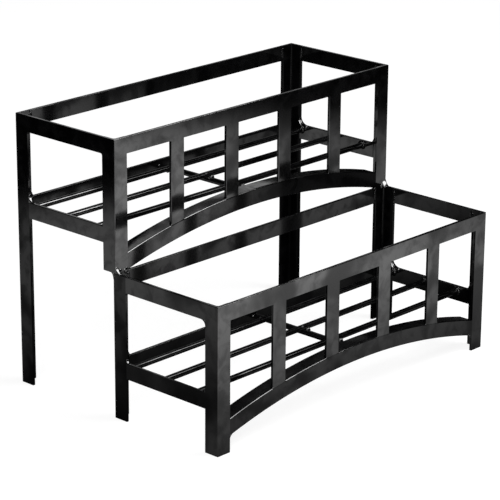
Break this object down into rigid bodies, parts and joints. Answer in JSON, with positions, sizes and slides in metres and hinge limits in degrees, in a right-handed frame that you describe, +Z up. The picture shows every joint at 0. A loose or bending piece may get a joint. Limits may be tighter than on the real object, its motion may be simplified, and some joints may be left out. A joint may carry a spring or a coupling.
{
  "type": "jar display rack",
  "caption": "Free-standing stepped rack of welded black steel bar, with open-topped wells, round-bar shelves and arched, barred fronts for showing jars.",
  "frame": {"origin": "on the floor, at the middle of the rack's footprint", "axes": "+X to the right along the rack, -Y to the front, where the lower tier stands, and +Z up"},
  "size_m": [0.612, 0.4192, 0.4306],
  "materials": {
    "black_paint": "glossy black paint over welded steel bar, a little uneven at the welds"
  },
  "bodies": {
    "root": {"lower_back_left_leg": "black_paint", "lower_back_right_leg": "black_paint", "lower_back_top_rail": "black_paint", "lower_front_arch": "black_paint", "lower_front_left_leg": "black_paint", "lower_front_right_leg": "black_paint", "lower_front_top_rail": "black_paint", "lower_front_welds": "black_paint", "lower_left_shelf_rail": "black_paint", "lower_left_top_rail": "black_paint", "lower_rear_shelf_rail": "black_paint", "lower_right_shelf_rail": "black_paint", "lower_right_top_rail": "black_paint", "lower_ring_welds": "black_paint", "lower_shelf_cross_bar": "black_paint", "lower_shelf_rod_1": "black_paint", "lower_shelf_rod_2": "black_paint", "lower_shelf_rod_3": "black_paint", "lower_shelf_welds": "black_paint", "lower_upright_1": "black_paint", "lower_upright_2": "black_paint", "lower_upright_3": "black_paint", "lower_upright_4": "black_paint", "tier_joint_welds": "black_paint", "upper_back_left_leg": "black_paint", "upper_back_right_leg": "black_paint", "upper_back_top_rail": "black_paint", "upper_front_arch": "black_paint", "upper_front_left_leg": "black_paint", "upper_front_right_leg": "black_paint", "upper_front_top_rail": "black_paint", "upper_front_welds": "black_paint", "upper_left_shelf_rail": "black_paint", "upper_left_top_rail": "black_paint", "upper_rear_shelf_rail": "black_paint", "upper_right_shelf_rail": "black_paint", "upper_right_top_rail": "black_paint", "upper_ring_welds": "black_paint", "upper_shelf_cross_bar": "black_paint", "upper_shelf_rod_1": "black_paint", "upper_shelf_rod_2": "black_paint", "upper_shelf_rod_3": "black_paint", "upper_shelf_welds": "black_paint", "upper_upright_1": "black_paint", "upper_upright_2": "black_paint", "upper_upright_3": "black_paint", "upper_upright_4": "black_paint"}
  },
  "joints": []
}
